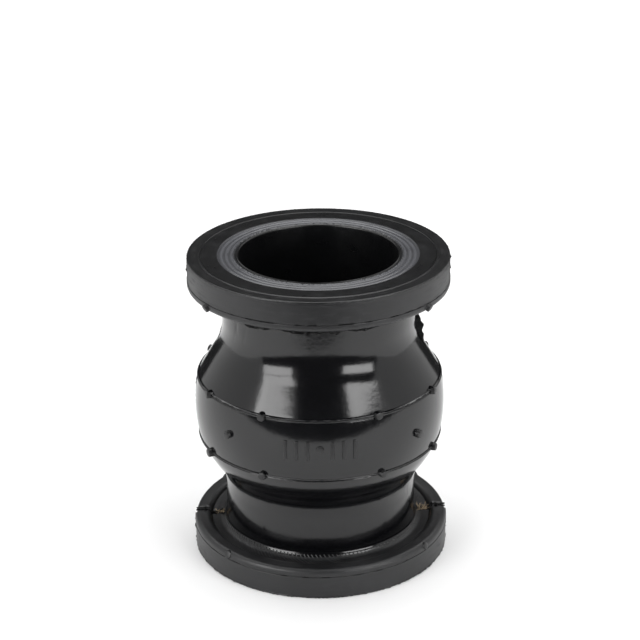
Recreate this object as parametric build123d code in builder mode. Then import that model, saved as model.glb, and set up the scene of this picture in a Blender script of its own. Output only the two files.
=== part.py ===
"""Single-arch rubber expansion joint, 65 mm bore, as a stack of flexing stretches.

The wall is a bonded tube of a liner, three cord plies and a cover. Each layer is cut at
plain levels into bead, neck and arch stretches, so that the stack can bend, squeeze and
shift. A steel hoop, its wrap and a rubber filler sit inside each bead.
Origin: centre of the lower sealing face. +Z runs along the bore.
"""

from build123d import *
from math import asin, cos, degrees, radians, sin, sqrt, tan
import os

# ---- driving dimensions, mm ----
LENGTH = 130.0  # face to face
BORE_R = 32.5
COVER = 2.6
PLY = 0.9
LINER = 1.9
PLY_COUNT = 3
WALL = COVER + PLY_COUNT * PLY + LINER
NECK_R = BORE_R + WALL

# arch
CROWN_R = 51.7  # outside of the arch
CROWN_ARC_R = 60.0  # barrel of the crown, in the profile
NECK_BEND_R = 24.0
FLANK_ANGLE = 31.7  # from the axis
RIDGE_OFFSET = 13.1  # moulding ridge, from mid height
RIDGE_WIDTH = 1.5
RIDGE_HEIGHT = 0.8

# bead
BEAD_R = 53.5
BEAD_THICK = 13.0
LIP_INNER_R = 46.5
CHANNEL_DEPTH = 2.0
LIP_ROUND = 1.2
RIM_CHAMFER = 0.5
NECK_FOOT_R = 3.2  # fillet from the channel floor to the neck
FACE_LINER_R = 47.8  # outer edge of the liner where it is turned out as the sealing face
FACE_LINER = 2.2
CORE_TOP = 9.0  # top of the reinforced core
CORE_R = 51.0  # outside of the turned-up plies
BORE_CHAMFER = 0.6

# hoop of bead wire
WIRE_R = 0.55
WIRE_PITCH = 1.13
WIRE_ROWS = 3
WIRE_COLUMNS = 5
WRAP = 0.35

# levels where the layers are cut
BEAD_LEVEL = 15.0
NECK_LEVEL = 32.0
MIDDLE = LENGTH / 2

# moulding vents and raised marks
NUB_R = 1.7
NUB_HEIGHT = 1.75
RIDGE_NUB_ANGLES = (27, 62, 118, 153)  # on each side, from the front
BAND_NUBS = ((0, 0.6), (45, 1.7), (135, 1.7), (180, 1.7), (225, 1.7), (315, 1.7))  # angle, height
BAND_NUB_RISE = 1.9  # above mid height
RIM_NUB_ANGLES = (50, 130, 230, 310)
RIM_NUB_HEIGHT = 1.0
RIM_NUB_LEVEL = 11.2
FLASH_ANGLES = (-90, 90)  # mould parting line on the rims, from the front
FLASH_HEIGHT = 0.9
FLASH_THICK = 0.7
FLASH_LOW = 2.0
FLASH_HIGH = 8.5
NUB_ROOT = 1.0  # how far a nub is sunk into the cover
MARK_ANGLES = (-15.5, -10.5, -5.5, 5.5, 10.5, 15.5)  # raised bars, from the front
MARK_WIDTH = 1.8
MARK_LOW = 61.6
MARK_HIGH = 69.9
MARK_HEIGHT = 0.6

FRONT = -90.0  # direction of the front, seen from above
SKIN_ROOT = 0.5  # how far a ridge or mark is sunk into the cover
TOUCH = 1e-3  # two places closer than this are the same


# ---- outline of the wall: the line lying a given depth under the outside ----
SIN_A = sin(radians(FLANK_ANGLE))
COS_A = cos(radians(FLANK_ANGLE))
TAN_A = tan(radians(FLANK_ANGLE))
CROWN_CENTRE = (CROWN_R - CROWN_ARC_R, MIDDLE)
RIDGE_R = CROWN_CENTRE[0] + sqrt(CROWN_ARC_R**2 - RIDGE_OFFSET**2)
BEND_TOP_R = NECK_R + NECK_BEND_R * (1 - COS_A)
BEND_TOP = MIDDLE - RIDGE_OFFSET - (RIDGE_R - BEND_TOP_R) / TAN_A
NECK_END = BEND_TOP - NECK_BEND_R * SIN_A
NECK_BEND_CENTRE = (NECK_R + NECK_BEND_R, NECK_END)


def shoulder_drop(depth):
    """How far below mid height the crown meets the flank, a given depth under the outside."""
    crown = CROWN_ARC_R - depth
    reach = RIDGE_R + RIDGE_OFFSET * TAN_A - depth / COS_A - CROWN_CENTRE[0]
    return (reach * TAN_A - sqrt(crown**2 * (1 + TAN_A**2) - reach**2)) / (1 + TAN_A**2)


def crown_radius(depth, level):
    """Radius of the crown at a level, a given depth under the outside."""
    return CROWN_CENTRE[0] + sqrt((CROWN_ARC_R - depth) ** 2 - (MIDDLE - level) ** 2)


def neck_line(depth):
    """Draw the neck stretch of the wall line, up to the level where the arch is cut off.
    Called inside a BuildLine block. Returns its two end points."""
    bend = NECK_BEND_R + depth
    first = Vector(NECK_R - depth, BEAD_LEVEL)
    Line(first, (NECK_R - depth, NECK_END))
    turn = degrees(asin((NECK_LEVEL - NECK_END) / bend))
    arc = CenterArc(NECK_BEND_CENTRE, bend, 180, -turn)
    return first, arc.position_at(1)


def arch_line(depth):
    """Draw the arch stretch of the wall line, from its cut at the neck to mid height.
    Called inside a BuildLine block. Returns its two end points."""
    bend = NECK_BEND_R + depth
    turn = degrees(asin((NECK_LEVEL - NECK_END) / bend))
    arc = CenterArc(NECK_BEND_CENTRE, bend, 180 - turn, turn - FLANK_ANGLE)
    drop = shoulder_drop(depth)
    shoulder = (crown_radius(depth, MIDDLE - drop), MIDDLE - drop)
    Line(arc.position_at(1), shoulder)
    sweep_angle = degrees(asin(drop / (CROWN_ARC_R - depth)))
    crown = CenterArc(CROWN_CENTRE, CROWN_ARC_R - depth, -sweep_angle, sweep_angle)
    return arc.position_at(0), crown.position_at(1)


def layer_ring(wall_line, depth, thickness):
    """One layer of the wall between two of its lines."""
    with BuildPart() as ring:
        with BuildSketch(Plane.XZ):
            with BuildLine():
                outer_low, outer_high = wall_line(depth)
                inner_low, inner_high = wall_line(depth + thickness)
                Line(outer_low, inner_low)
                Line(outer_high, inner_high)
            make_face()
        revolve(axis=Axis.Z)
    return ring


def section_ring(points):
    """A ring turned from a plain polygon of (radius, level) corners."""
    with BuildPart() as ring:
        with BuildSketch(Plane.XZ):
            with BuildLine():
                Polyline(*points, close=True)
            make_face()
        revolve(axis=Axis.Z)
    return ring


LAYERS = (
    ("cover", 0.0, COVER),
    ("outer_ply", COVER, PLY),
    ("middle_ply", COVER + PLY, PLY),
    ("inner_ply", COVER + 2 * PLY, PLY),
    ("liner", COVER + 3 * PLY, LINER),
)


# ---- the lower half, which the upper half mirrors ----
def bead_cover():
    """Rubber of the bead: rim, lip, channel and the foot of the neck."""
    channel = BEAD_THICK - CHANNEL_DEPTH
    ply_r = NECK_R - COVER
    with BuildPart() as cover:
        with BuildSketch(Plane.XZ) as profile:
            with BuildLine():
                Polyline(
                    (FACE_LINER_R, 0),
                    (BEAD_R, 0),
                    (BEAD_R, BEAD_THICK),
                    (LIP_INNER_R, BEAD_THICK),
                    (LIP_INNER_R, channel),
                    (NECK_R, channel),
                    (NECK_R, BEAD_LEVEL),
                    (ply_r, BEAD_LEVEL),
                    (ply_r, CORE_TOP),
                    (CORE_R, CORE_TOP),
                    (CORE_R, FACE_LINER),
                    (FACE_LINER_R, FACE_LINER),
                    close=True,
                )
            make_face()
            corners = profile.vertices()
            lip = corners.filter_by(lambda v: v.Y == BEAD_THICK)
            fillet(lip, radius=LIP_ROUND)
            corners = profile.vertices()
            foot = corners.filter_by(lambda v: abs(v.X - NECK_R) < TOUCH and abs(v.Y - channel) < TOUCH)
            fillet(foot, radius=NECK_FOOT_R)
            corners = profile.vertices()
            rim = corners.filter_by(lambda v: abs(v.X - BEAD_R) < TOUCH and abs(v.Y) < TOUCH)
            chamfer(rim, length=RIM_CHAMFER)
        revolve(axis=Axis.Z)
        for angle in RIM_NUB_ANGLES:
            radial_nub(FRONT + angle, BEAD_R, RIM_NUB_LEVEL, RIM_NUB_HEIGHT)
        middle_r = BEAD_R + (FLASH_HEIGHT - NUB_ROOT) / 2
        for angle in FLASH_ANGLES:
            with BuildSketch(Plane(origin=(0, 0, FLASH_LOW), z_dir=(0, 0, 1), x_dir=heading(FRONT + angle))):
                with Locations((middle_r, 0)):
                    Rectangle(FLASH_HEIGHT + NUB_ROOT, FLASH_THICK)
            extrude(amount=FLASH_HIGH - FLASH_LOW)
    return cover


def radial_nub(angle, radius, level, height):
    """Add a moulding nub that points outwards. Called inside a BuildPart block."""
    outward = Plane(
        origin=(
            (radius - NUB_ROOT) * cos(radians(angle)),
            (radius - NUB_ROOT) * sin(radians(angle)),
            level,
        ),
        z_dir=(cos(radians(angle)), sin(radians(angle)), 0),
    )
    with BuildSketch(outward) as root:
        Circle(NUB_R)
    extrude(root.sketch, amount=NUB_ROOT + height)


def bead_liner():
    """Liner in the bead, turned out as the sealing face."""
    liner_r = BORE_R + LINER
    return section_ring(
        (
            (BORE_R + BORE_CHAMFER, 0),
            (FACE_LINER_R, 0),
            (FACE_LINER_R, FACE_LINER),
            (liner_r, FACE_LINER),
            (liner_r, BEAD_LEVEL),
            (BORE_R, BEAD_LEVEL),
            (BORE_R, BORE_CHAMFER),
        )
    )


def bead_ply(number):
    """Ply in the bead, counted from the liner: down the neck, out, and turned up."""
    inner = BORE_R + LINER + number * PLY
    under = FACE_LINER + number * PLY
    outer = CORE_R - number * PLY
    return section_ring(
        (
            (inner, under),
            (outer, under),
            (outer, CORE_TOP),
            (outer - PLY, CORE_TOP),
            (outer - PLY, under + PLY),
            (inner + PLY, under + PLY),
            (inner + PLY, BEAD_LEVEL),
            (inner, BEAD_LEVEL),
        )
    )


WRAP_OUTER_R = CORE_R - PLY_COUNT * PLY
WRAP_INNER_R = WRAP_OUTER_R - WIRE_COLUMNS * WIRE_PITCH - 2 * WRAP
WRAP_LOW = FACE_LINER + PLY_COUNT * PLY


def bead_wires():
    """Hoop of bead wire, laid in rows."""
    first_r = WRAP_INNER_R + WRAP + WIRE_PITCH / 2
    middle = (WRAP_LOW + CORE_TOP) / 2
    first_z = middle - (WIRE_ROWS - 1) / 2 * WIRE_PITCH
    with BuildPart() as wires:
        for column in range(WIRE_COLUMNS):
            for row in range(WIRE_ROWS):
                with Locations((0, 0, first_z + row * WIRE_PITCH)):
                    Torus(first_r + column * WIRE_PITCH, WIRE_R)
    return wires


def bead_wrap():
    """Rubberised fabric wrapped round the hoop."""
    width = WRAP_OUTER_R - WRAP_INNER_R
    height = CORE_TOP - WRAP_LOW
    centre = ((WRAP_OUTER_R + WRAP_INNER_R) / 2, (CORE_TOP + WRAP_LOW) / 2)
    with BuildPart() as wrap:
        with BuildSketch(Plane.XZ):
            with Locations(centre):
                Rectangle(width, height)
                Rectangle(width - 2 * WRAP, height - 2 * WRAP, mode=Mode.SUBTRACT)
        revolve(axis=Axis.Z)
    return wrap


def bead_filler():
    """Hard rubber filler between the neck plies and the hoop."""
    ply_r = NECK_R - COVER
    return section_ring(
        (
            (ply_r, WRAP_LOW),
            (WRAP_INNER_R, WRAP_LOW),
            (WRAP_INNER_R, CORE_TOP),
            (ply_r, CORE_TOP),
        )
    )


def arch_cover(raised_low, raised_high, band_nubs):
    """Cover of the lower half of the arch, with its ridge, vent nubs and raised bars."""
    ridge_level = MIDDLE - RIDGE_OFFSET
    with BuildPart() as cover:
        with BuildSketch(Plane.XZ):
            with BuildLine():
                outer_low, outer_high = arch_line(0)
                inner_low, inner_high = arch_line(COVER)
                Line(outer_low, inner_low)
                Line(outer_high, inner_high)
            make_face()
            with Locations((RIDGE_R + (RIDGE_HEIGHT - SKIN_ROOT) / 2, ridge_level)):
                Rectangle(RIDGE_HEIGHT + SKIN_ROOT, RIDGE_WIDTH)
        revolve(axis=Axis.Z)
        for angle in RIDGE_NUB_ANGLES:
            for side in (-1, 1):
                radial_nub(FRONT + side * angle, RIDGE_R, ridge_level, NUB_HEIGHT)
        if band_nubs:
            for angle, height in BAND_NUBS:
                radial_nub(FRONT + angle, CROWN_R, MIDDLE - BAND_NUB_RISE, height)
        middle_r = CROWN_R + (MARK_HEIGHT - SKIN_ROOT) / 2
        for angle in MARK_ANGLES:
            turn = FRONT + angle
            with BuildSketch(Plane(origin=(0, 0, raised_low), z_dir=(0, 0, 1), x_dir=heading(turn))):
                with Locations((middle_r, 0)):
                    Rectangle(MARK_HEIGHT + SKIN_ROOT, MARK_WIDTH)
            extrude(amount=raised_high - raised_low)
    return cover


def heading(angle):
    """Unit direction in plan."""
    return (cos(radians(angle)), sin(radians(angle)), 0)


def upper(ring):
    """The same ring at the upper end."""
    with BuildPart() as mirrored:
        add(mirror(ring.part, about=Plane.XY.offset(MIDDLE), mode=Mode.PRIVATE))
    return mirrored


def save(piece, name):
    """Label a finished piece and write it."""
    piece.part.label = name
    export_step(piece.part, f"parts/{name}.step")


# ---- write every piece ----
os.makedirs("parts", exist_ok=True)

bead_pieces = {
    "cover": bead_cover(),
    "liner": bead_liner(),
    "inner_ply": bead_ply(0),
    "middle_ply": bead_ply(1),
    "outer_ply": bead_ply(2),
    "wires": bead_wires(),
    "wrap": bead_wrap(),
    "filler": bead_filler(),
}
for title, piece in bead_pieces.items():
    save(piece, f"lower_bead_{title}")
    save(upper(piece), f"upper_bead_{title}")

for title, depth, thickness in LAYERS:
    neck = layer_ring(neck_line, depth, thickness)
    save(neck, f"lower_neck_{title}")
    save(upper(neck), f"upper_neck_{title}")
    if title == "cover":
        lower_arch = arch_cover(MARK_LOW, MIDDLE, band_nubs=False)
        upper_arch = upper(arch_cover(LENGTH - MARK_HIGH, MIDDLE, band_nubs=True))
    else:
        lower_arch = layer_ring(arch_line, depth, thickness)
        upper_arch = upper(lower_arch)
    save(lower_arch, f"lower_arch_{title}")
    save(upper_arch, f"upper_arch_{title}")
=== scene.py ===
"""Looks of a single-arch moulded rubber expansion joint standing on its lower sealing face."""

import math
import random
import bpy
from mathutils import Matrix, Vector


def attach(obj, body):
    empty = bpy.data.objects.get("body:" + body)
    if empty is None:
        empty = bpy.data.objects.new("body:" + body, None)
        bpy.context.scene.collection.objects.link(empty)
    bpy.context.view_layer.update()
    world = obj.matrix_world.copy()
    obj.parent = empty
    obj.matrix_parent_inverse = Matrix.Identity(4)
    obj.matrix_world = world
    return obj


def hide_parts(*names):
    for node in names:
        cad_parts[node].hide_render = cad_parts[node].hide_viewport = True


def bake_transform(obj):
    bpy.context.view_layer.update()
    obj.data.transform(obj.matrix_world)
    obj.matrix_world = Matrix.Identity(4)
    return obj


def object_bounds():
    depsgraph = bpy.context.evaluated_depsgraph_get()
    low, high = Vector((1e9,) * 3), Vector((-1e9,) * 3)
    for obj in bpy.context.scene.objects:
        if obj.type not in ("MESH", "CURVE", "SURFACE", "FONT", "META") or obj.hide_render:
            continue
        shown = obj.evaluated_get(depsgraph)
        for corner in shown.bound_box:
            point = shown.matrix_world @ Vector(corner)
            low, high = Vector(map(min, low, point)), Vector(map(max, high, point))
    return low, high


bl_info = {
    "name": "Rubber Expansion Joint",
    "version": (1, 0, 0),
    "blender": (4, 5, 0),
    "location": "3D View > Sidebar > Expansion Joint",
    "description": "Cover, sealing faces, cord ribs, flash and finishes of a moulded rubber expansion joint",
    "category": "Add Mesh",
}

import bmesh
import bpy
from bpy.props import FloatProperty, FloatVectorProperty, IntProperty, PointerProperty
from mathutils import Matrix, Vector, noise

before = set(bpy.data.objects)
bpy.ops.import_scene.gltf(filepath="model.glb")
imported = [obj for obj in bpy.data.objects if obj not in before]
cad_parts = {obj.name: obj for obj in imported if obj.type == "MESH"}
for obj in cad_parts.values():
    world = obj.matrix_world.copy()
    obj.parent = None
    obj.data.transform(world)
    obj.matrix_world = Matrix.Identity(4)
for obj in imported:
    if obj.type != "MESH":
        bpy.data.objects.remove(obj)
CAD_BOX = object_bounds()

MM = 0.001
FULL_TURN = 2 * math.pi
ENDS = ("lower", "upper")
HAIRLINE_DROP = 3.3 * MM
SEAM_LEFT, SEAM_RIGHT = 0.3, 2.3  # how far behind the middle, in millimetres
SEAM_HALF, SEAM_WANDER = 1.9, 2.4
NOISE_RADIUS = 50.0
RINGS = 3.0  # radians of ring pattern to the millimetre on the sealing face
GLOW_START, GLOW_END = 600.0, 2600.0
HAIR = 1e-9
BLACK, WHITE = (0.0, 0.0, 0.0), (1.0, 1.0, 1.0)


# ---- sizes and colours ----
def length(title, words, millimetres):
    """A length property, given in millimetres and kept in metres."""
    metres = millimetres * MM
    return FloatProperty(
        name=title, description=words, default=metres, subtype="DISTANCE", unit="LENGTH", precision=5
    )


def angle(title, words, degrees):
    """An angle property, given in degrees."""
    return FloatProperty(
        name=title, description=words, default=math.radians(degrees), subtype="ANGLE", unit="ROTATION"
    )


def colour(title, words, red, green, blue):
    """A colour property."""
    return FloatVectorProperty(
        name=title, description=words, default=(red, green, blue), subtype="COLOR", min=0.0, max=1.0
    )


class JointSizes(bpy.types.PropertyGroup):
    """Sizes of the joint."""

    height: length("Height", "Face to face", (CAD_BOX[1].z - CAD_BOX[0].z) / MM)
    bore: length("Bore radius", "Inside of the neck", 32.5)
    neck: length("Neck radius", "Outside of the neck", 39.7)
    crown: length("Crown radius", "Outside of the arch at mid height", 51.7)
    crown_barrel: length("Crown barrel", "Profile radius of the crown", 60.0)
    neck_bend: length("Neck bend", "Profile radius where the neck turns into the arch", 24.0)
    flank: angle("Flank angle", "Slope of the arch's flank from the axis", 31.7)
    ridge_offset: length("Ridge offset", "Moulding ridge from mid height", 13.1)
    ridge_half: length("Ridge half width", "Half width of a moulding ridge", 0.78)
    ridge_height: length("Ridge height", "How far a moulding ridge stands out", 0.5)
    cover: length("Cover", "Thickness of the cover", 2.6)
    ply: length("Ply", "Thickness of one cord ply", 0.9)
    liner: length("Liner", "Thickness of the liner", 1.9)
    bead: length("Bead radius", "Outside of the bead", 53.4)
    bead_thick: length("Bead thickness", "From the sealing face to the lip", 13.0)
    lip_inner: length("Lip inner radius", "Inside of the lip ring", 46.5)
    lip_round: length("Lip rounding", "Rounding of the lip's edges", 2.0)
    channel: length("Channel level", "Floor of the channel above the sealing face", 11.0)
    foot: length("Neck foot", "Fillet between channel and neck", 3.2)
    face_liner: length("Liner edge radius", "Outer edge of the turned-out liner", 47.8)
    face_thick: length("Face thickness", "Liner thickness on the sealing face", 2.2)
    core_top: length("Core top", "Top of the reinforced core", 9.0)
    core: length("Core radius", "Outside of the turned-up plies", 51.0)
    bead_level: length("Bead level", "Where the bead ends on the neck", 15.0)
    bend_level: length("Bend level", "Where the bending stretch of the neck ends", 31.0)
    nub: length("Nub radius", "Radius of a moulding nub", 1.7)
    sag: length("Sag", "How much fuller the lower flank stands under the joint's weight", 0.95)


class JointColours(bpy.types.PropertyGroup):
    """Colours of the finishes."""

    rubber: colour("Glossy rubber", "Arch and necks", 0.0026, 0.0027, 0.0032)
    rim: colour("Satin rubber", "Bead rims", 0.0045, 0.0046, 0.0053)
    bloom: colour("Bloom", "Grey bloom and dust on the rubber", 0.024, 0.0245, 0.027)
    face: colour("Sealing face", "Moulded sealing face", 0.0026, 0.0027, 0.0031)
    # Inner band: paler grey painted in as the reflection of light on the dished face round the bore.
    face_band_painted_reflection: colour("Inner band", "Paler band round the bore", 0.10, 0.102, 0.112)
    flash: colour("Flash", "Torn flash", 0.0018, 0.0018, 0.002)
    cord: colour("Cord", "Dipped nylon tyre cord", 0.19, 0.115, 0.055)
    filament: colour("Filament", "Paler filaments of frayed cord", 0.62, 0.5, 0.34)
    skim: colour("Skim rubber", "Rubber between the cords", 0.02, 0.018, 0.017)
    wire: colour("Bead wire", "Bronze-coated steel wire", 0.56, 0.40, 0.22)
    tarnish: colour("Tarnish", "Tarnish on the bead wire", 0.22, 0.12, 0.06)
    floor: colour("Floor", "Studio floor", 0.86, 0.86, 0.86)
    floor_cloud: colour("Floor cloud", "Faint unevenness of the floor", 0.8, 0.8, 0.8)


def sizes():
    """The scene's sizes."""
    return bpy.context.scene.expansion_joint_sizes


def colours():
    """The scene's colours."""
    return bpy.context.scene.expansion_joint_colours


# ---- small helpers ----
def smooth(value):
    """Smooth step of a value between 0 and 1."""
    value = min(1.0, max(0.0, value))
    return value * value * (3 - 2 * value)


def between(value, low, high):
    """Smooth step of a value from low to high."""
    return smooth((value - low) / (high - low))


def evenly(low, high, spacing):
    """Levels from low to high, about a spacing apart."""
    count = max(1, round(abs(high - low) / spacing))
    return [low + (high - low) * n / count for n in range(count + 1)]


def arc_points(centre, radius, start, stop, count):
    """Points on an arc in the profile plane, angles in degrees from the radial direction."""
    turns = [math.radians(start + (stop - start) * n / count) for n in range(count + 1)]
    return [(centre[0] + radius * math.cos(t), centre[1] + radius * math.sin(t)) for t in turns]


def rise(radius, low, high, spacing):
    """Profile points up one radius."""
    return [(radius, level) for level in evenly(low, high, spacing)]


def run(level, start, stop, spacing):
    """Profile points along one level."""
    return [(radius, level) for radius in evenly(start, stop, spacing)]


def turn_of(point):
    """Angle round the axis: 0 at the front, positive to the right."""
    return math.atan2(point.x, -point.y)


def place(radius, turn, level):
    """Point at a radius, an angle from the front and a level."""
    return Vector((radius * math.sin(turn), -radius * math.cos(turn), level))


def ripple(x, y, z, size):
    """Smooth noise of about -1 to 1, with features of a given size in millimetres."""
    return noise.noise(Vector((x, y, z)) / (size * MM))


class Outline:
    """Profile of the wall: its radius at any level and depth under the outside."""

    def __init__(self):
        s = sizes()
        self.middle = s.height / 2
        self.neck = s.neck
        self.bend = s.neck_bend
        self.barrel = s.crown_barrel
        self.crown_centre = s.crown - s.crown_barrel
        self.ridge = s.ridge_offset
        self.slope = math.tan(s.flank)
        self.sine, self.cosine = math.sin(s.flank), math.cos(s.flank)
        self.ridge_radius = self.crown_centre + math.sqrt(self.barrel**2 - self.ridge**2)
        bend_top_radius = self.neck + self.bend * (1 - self.cosine)
        bend_top = self.ridge + (self.ridge_radius - bend_top_radius) / self.slope
        self.neck_drop = bend_top + self.bend * self.sine
        self.round = 0.5 * MM

    def radius(self, level, depth=0.0):
        """Radius at a level, a given depth under the outside."""
        drop = abs(level - self.middle)
        bend = self.bend + depth
        into_bend = self.neck_drop - drop
        if into_bend <= 0:
            return self.neck - depth
        if into_bend < bend * self.sine:
            return self.neck + self.bend - math.sqrt(bend**2 - into_bend**2)
        flank = self.ridge_radius - (drop - self.ridge) * self.slope - depth / self.cosine
        crown = self.crown_centre + math.sqrt(max(0.0, (self.barrel - depth) ** 2 - drop**2))
        overlap = max(0.0, self.round - abs(flank - crown)) / self.round
        return min(flank, crown) - overlap**2 * self.round / 4

    def skin(self, level):
        """Outside radius with the moulding ridges."""
        s = sizes()
        drop = abs(level - self.middle)
        share = abs(drop - self.ridge) / s.ridge_half
        stand = s.ridge_height * smooth((1 - share) / 0.4) * (1 - 0.55 * smooth(1 - share / 0.38))
        fall = drop - self.ridge
        if level < self.middle and fall > 0:
            rounded = math.sin(math.pi / 2 * min(1.0, fall / (7.5 * MM)))
            stand += s.sag * rounded * between(17.9 * MM - fall, 0, 9 * MM)
        return self.radius(level) + stand


# ---- meshes ----
def points_of(items):
    """The vertices among some mesh elements."""
    return [item for item in items if isinstance(item, bmesh.types.BMVert)]


def faces_of(items):
    """The faces among some mesh elements."""
    return [item for item in items if isinstance(item, bmesh.types.BMFace)]


def edges_among(points):
    """The edges that join some vertices to each other."""
    return [e for e in {e for v in points for e in v.link_edges} if all(v in points for v in e.verts)]


def grow(bm, front, keep=False):
    """Extrude faces one step: the new faces and vertices. The old faces stay only as a closing cap."""
    grown = bmesh.ops.extrude_face_region(bm, geom=front)["geom"]
    if not keep:
        bmesh.ops.delete(bm, geom=front, context="FACES_ONLY")
    return faces_of(grown), points_of(grown)


def facing(spot, aim):
    """Placement at a spot of something drawn along Z, turned to a direction."""
    return Matrix.Translation(spot) @ aim.to_track_quat("Z", "Y").to_matrix().to_4x4()


def as_object(name, bm, material):
    """The mesh as an object in the scene, with its material."""
    mesh = bpy.data.meshes.new(name)
    bm.to_mesh(mesh)
    bm.free()
    mesh.materials.append(material)
    made = bpy.data.objects.new(name, mesh)
    bpy.context.scene.collection.objects.link(made)
    return made


def turned(outline, steps):
    """Spin a closed profile of (radius, level) points into a ring."""
    bm = bmesh.new()
    corners = [bm.verts.new((radius, 0.0, level)) for radius, level in outline]
    edges = [bm.edges.new((corners[n - 1], corners[n])) for n in range(len(corners))]
    sweep = {"cent": (0, 0, 0), "axis": (0, 0, 1), "angle": FULL_TURN, "steps": steps}
    bmesh.ops.spin(bm, geom=corners + edges, use_merge=True, use_duplicate=False, **sweep)
    bmesh.ops.recalc_face_normals(bm, faces=bm.faces)
    return bm


def stand_up(bm, end):
    """Turn a lower piece over for the upper end."""
    if end == "upper":
        height = sizes().height
        for vert in bm.verts:
            vert.co.z = height - vert.co.z
    bmesh.ops.recalc_face_normals(bm, faces=bm.faces)


def finish_piece(name, bm, maker, crease=38.0):
    """Make the object: smooth faces, with edges over the crease angle left sharp."""
    limit = math.radians(crease)
    for face in bm.faces:
        face.smooth = True
    for edge in bm.edges:
        if len(edge.link_faces) == 2 and edge.calc_face_angle() > limit:
            edge.smooth = False
    piece = as_object(name, bm, finish(maker))
    return piece


def finish_bead_piece(name, end, bm, maker, crease=38.0):
    """Finish a piece drawn at the lower bead, on its own bead."""
    stand_up(bm, end)
    piece = finish_piece(f"{name}_{end}", bm, maker, crease)
    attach(piece, f"{end}_bead")
    return piece


def swing(bm, verts, turn):
    """Turn some vertices about the joint's axis."""
    bmesh.ops.rotate(bm, verts=verts, cent=(0, 0, 0), matrix=Matrix.Rotation(turn, 3, "Z"))


def soften(bm, edges, offset, segments, **more):
    """Round some edges over."""
    return bmesh.ops.bevel(
        bm, geom=edges, offset=offset, segments=segments, profile=0.5, affect="EDGES", material=-1, **more
    )


def add_nub(bm, spot, outward, height, seed):
    """A round moulding nub with a rounded, roughly trimmed end."""
    chance = random.Random(seed)
    root, foot_share, tip_share, most_lean = 1.0 * MM, 1.06, 0.95, 0.13
    radius = sizes().nub * chance.uniform(0.92, 1.08)
    lean = Vector([chance.uniform(-most_lean, most_lean) for _ in range(3)])
    aim = (outward + lean).normalized()
    made = bmesh.ops.create_cone(
        bm,
        cap_ends=True,
        segments=20,
        radius1=radius * foot_share,
        radius2=radius * tip_share,
        depth=root + height,
        matrix=facing(spot + aim * ((height - root) / 2), aim),
    )
    top = [v for v in made["verts"] if (v.co - spot).dot(aim) > height / 2]
    soften(bm, edges_among(top), 0.28 * MM, 2, clamp_overlap=True)


def add_fin(bm, feet, outward, side, height, thickness, seed, grain=1.1):
    """Torn flash: a thin fin standing on a line of feet, ragged along its edge."""
    root, least, lowest, roughness, sway = 0.5 * MM, 0.04 * MM, 0.62, 0.75, 0.25 * MM
    low = [bm.verts.new(foot - aim * root) for foot, aim in zip(feet, outward)]
    order = {tuple(vert.co): number for number, vert in enumerate(low)}
    line = [bm.edges.new(pair) for pair in zip(low, low[1:])]
    grown = bmesh.ops.extrude_edge_only(bm, edges=line)["geom"]
    for vert in points_of(grown):
        number = order[tuple(vert.co)]
        wave = noise.noise(feet[number] / (grain * MM) + Vector((seed, 0, 0)))
        tall = max(least, height[number] * (lowest + roughness * wave))
        vert.co = feet[number] + outward[number] * tall + side[number] * sway * wave
    bmesh.ops.solidify(bm, geom=faces_of(grown), thickness=thickness)


# ---- materials ----
def math_node(operation, swap=False):
    """An operator of Field that adds one Math node; swapped, the field comes second."""

    def method(self, other):
        return self.maths(operation, other, swap=swap)

    return method


class Field:
    """A value in a material, so that node maths is written as ordinary maths."""

    def __init__(self, recipe, socket):
        self.recipe = recipe
        self.socket = socket

    def maths(self, operation, *others, swap=False):
        """One Math node."""
        values = [self, *others]
        if swap:
            values.reverse()
        node = self.recipe.add("ShaderNodeMath", {"operation": operation}, dict(enumerate(values)))
        return Field(self.recipe, node.outputs[0])

    __add__ = __radd__ = math_node("ADD")
    __sub__ = math_node("SUBTRACT")
    __rsub__ = math_node("SUBTRACT", swap=True)
    __mul__ = __rmul__ = math_node("MULTIPLY")
    __truediv__ = math_node("DIVIDE")
    __rtruediv__ = math_node("DIVIDE", swap=True)
    __pow__ = math_node("POWER")

    def size(self):
        """Absolute value."""
        return self.maths("ABSOLUTE")

    def wave(self):
        """Sine."""
        return self.maths("SINE")

    def step(self, low, high):
        """Smooth step from low to high."""
        inputs = {"Value": self, "From Min": low, "From Max": high}
        node = self.recipe.add("ShaderNodeMapRange", {"interpolation_type": "SMOOTHSTEP"}, inputs)
        return Field(self.recipe, node.outputs["Result"])


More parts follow.
